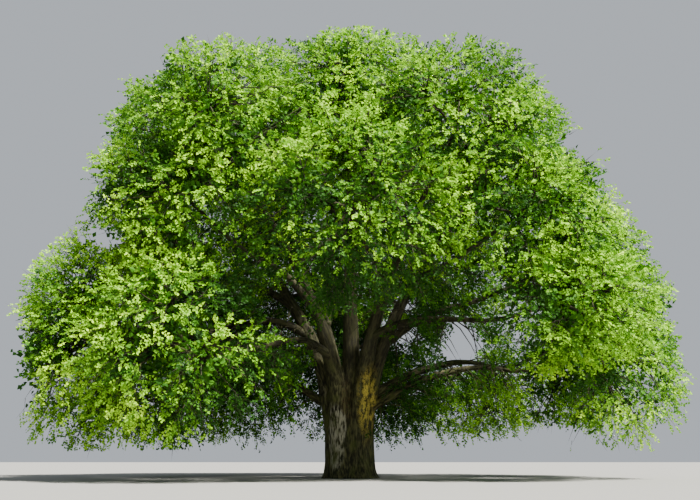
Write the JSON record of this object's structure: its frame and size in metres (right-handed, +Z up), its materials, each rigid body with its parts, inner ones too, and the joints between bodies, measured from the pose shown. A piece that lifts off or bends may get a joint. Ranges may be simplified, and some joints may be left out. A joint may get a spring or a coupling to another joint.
{
  "type": "beech tree",
  "caption": "Old open-grown beech in spring leaf: a short fluted trunk of fused stems, arching boughs and a wide domed crown whose skirt hangs almost to the level ground.",
  "frame": {"origin": "middle of the flat cut under the trunk, at ground level", "axes": "+Z up, -Y is the tree's front, towards the picture's camera, and +X is its right-hand side"},
  "size_m": [21.2148, 19.923, 14.3815],
  "materials": {
    "bark": "rough grey-brown bark, fluted and lichened, with golden-green moss",
    "foliage": "fresh yellow-green spring leaves, thin and slightly glossy"
  },
  "bodies": {
    "root": {"trunk": "bark", "stem_1": "bark", "stem_2": "bark", "stem_3": "bark", "stem_4": "bark", "stem_5": "bark", "stem_6": "bark", "leader": "bark", "top_bough_2": "bark", "top_bough_3": "bark", "middle_bough_1": "bark", "middle_bough_2": "bark", "middle_bough_3": "bark", "middle_bough_4": "bark", "middle_bough_5": "bark", "middle_bough_6": "bark", "middle_bough_7": "bark", "middle_bough_8": "bark", "skirt_bough_1": "bark", "skirt_bough_2": "bark", "skirt_bough_3": "bark", "skirt_bough_4": "bark", "skirt_bough_5": "bark", "skirt_bough_6": "bark", "skirt_bough_7": "bark", "skirt_bough_8": "bark", "skirt_bough_9": "bark", "shoulder_foliage_1": "foliage", "shoulder_foliage_2": "foliage", "shoulder_foliage_3": "foliage", "shoulder_foliage_4": "foliage", "shoulder_foliage_5": "foliage", "shoulder_foliage_6": "foliage", "top_foliage_1": "foliage", "top_foliage_2": "foliage", "top_foliage_3": "foliage", "middle_foliage_1": "foliage", "middle_foliage_2": "foliage", "middle_foliage_3": "foliage", "middle_foliage_4": "foliage", "middle_foliage_5": "foliage", "middle_foliage_6": "foliage", "middle_foliage_7": "foliage", "middle_foliage_8": "foliage", "skirt_foliage_1": "foliage", "skirt_foliage_2": "foliage", "skirt_foliage_3": "foliage", "skirt_foliage_4": "foliage", "skirt_foliage_5": "foliage", "skirt_foliage_6": "foliage", "skirt_foliage_7": "foliage", "skirt_foliage_8": "foliage", "skirt_foliage_9": "foliage"}
  },
  "joints": []
}
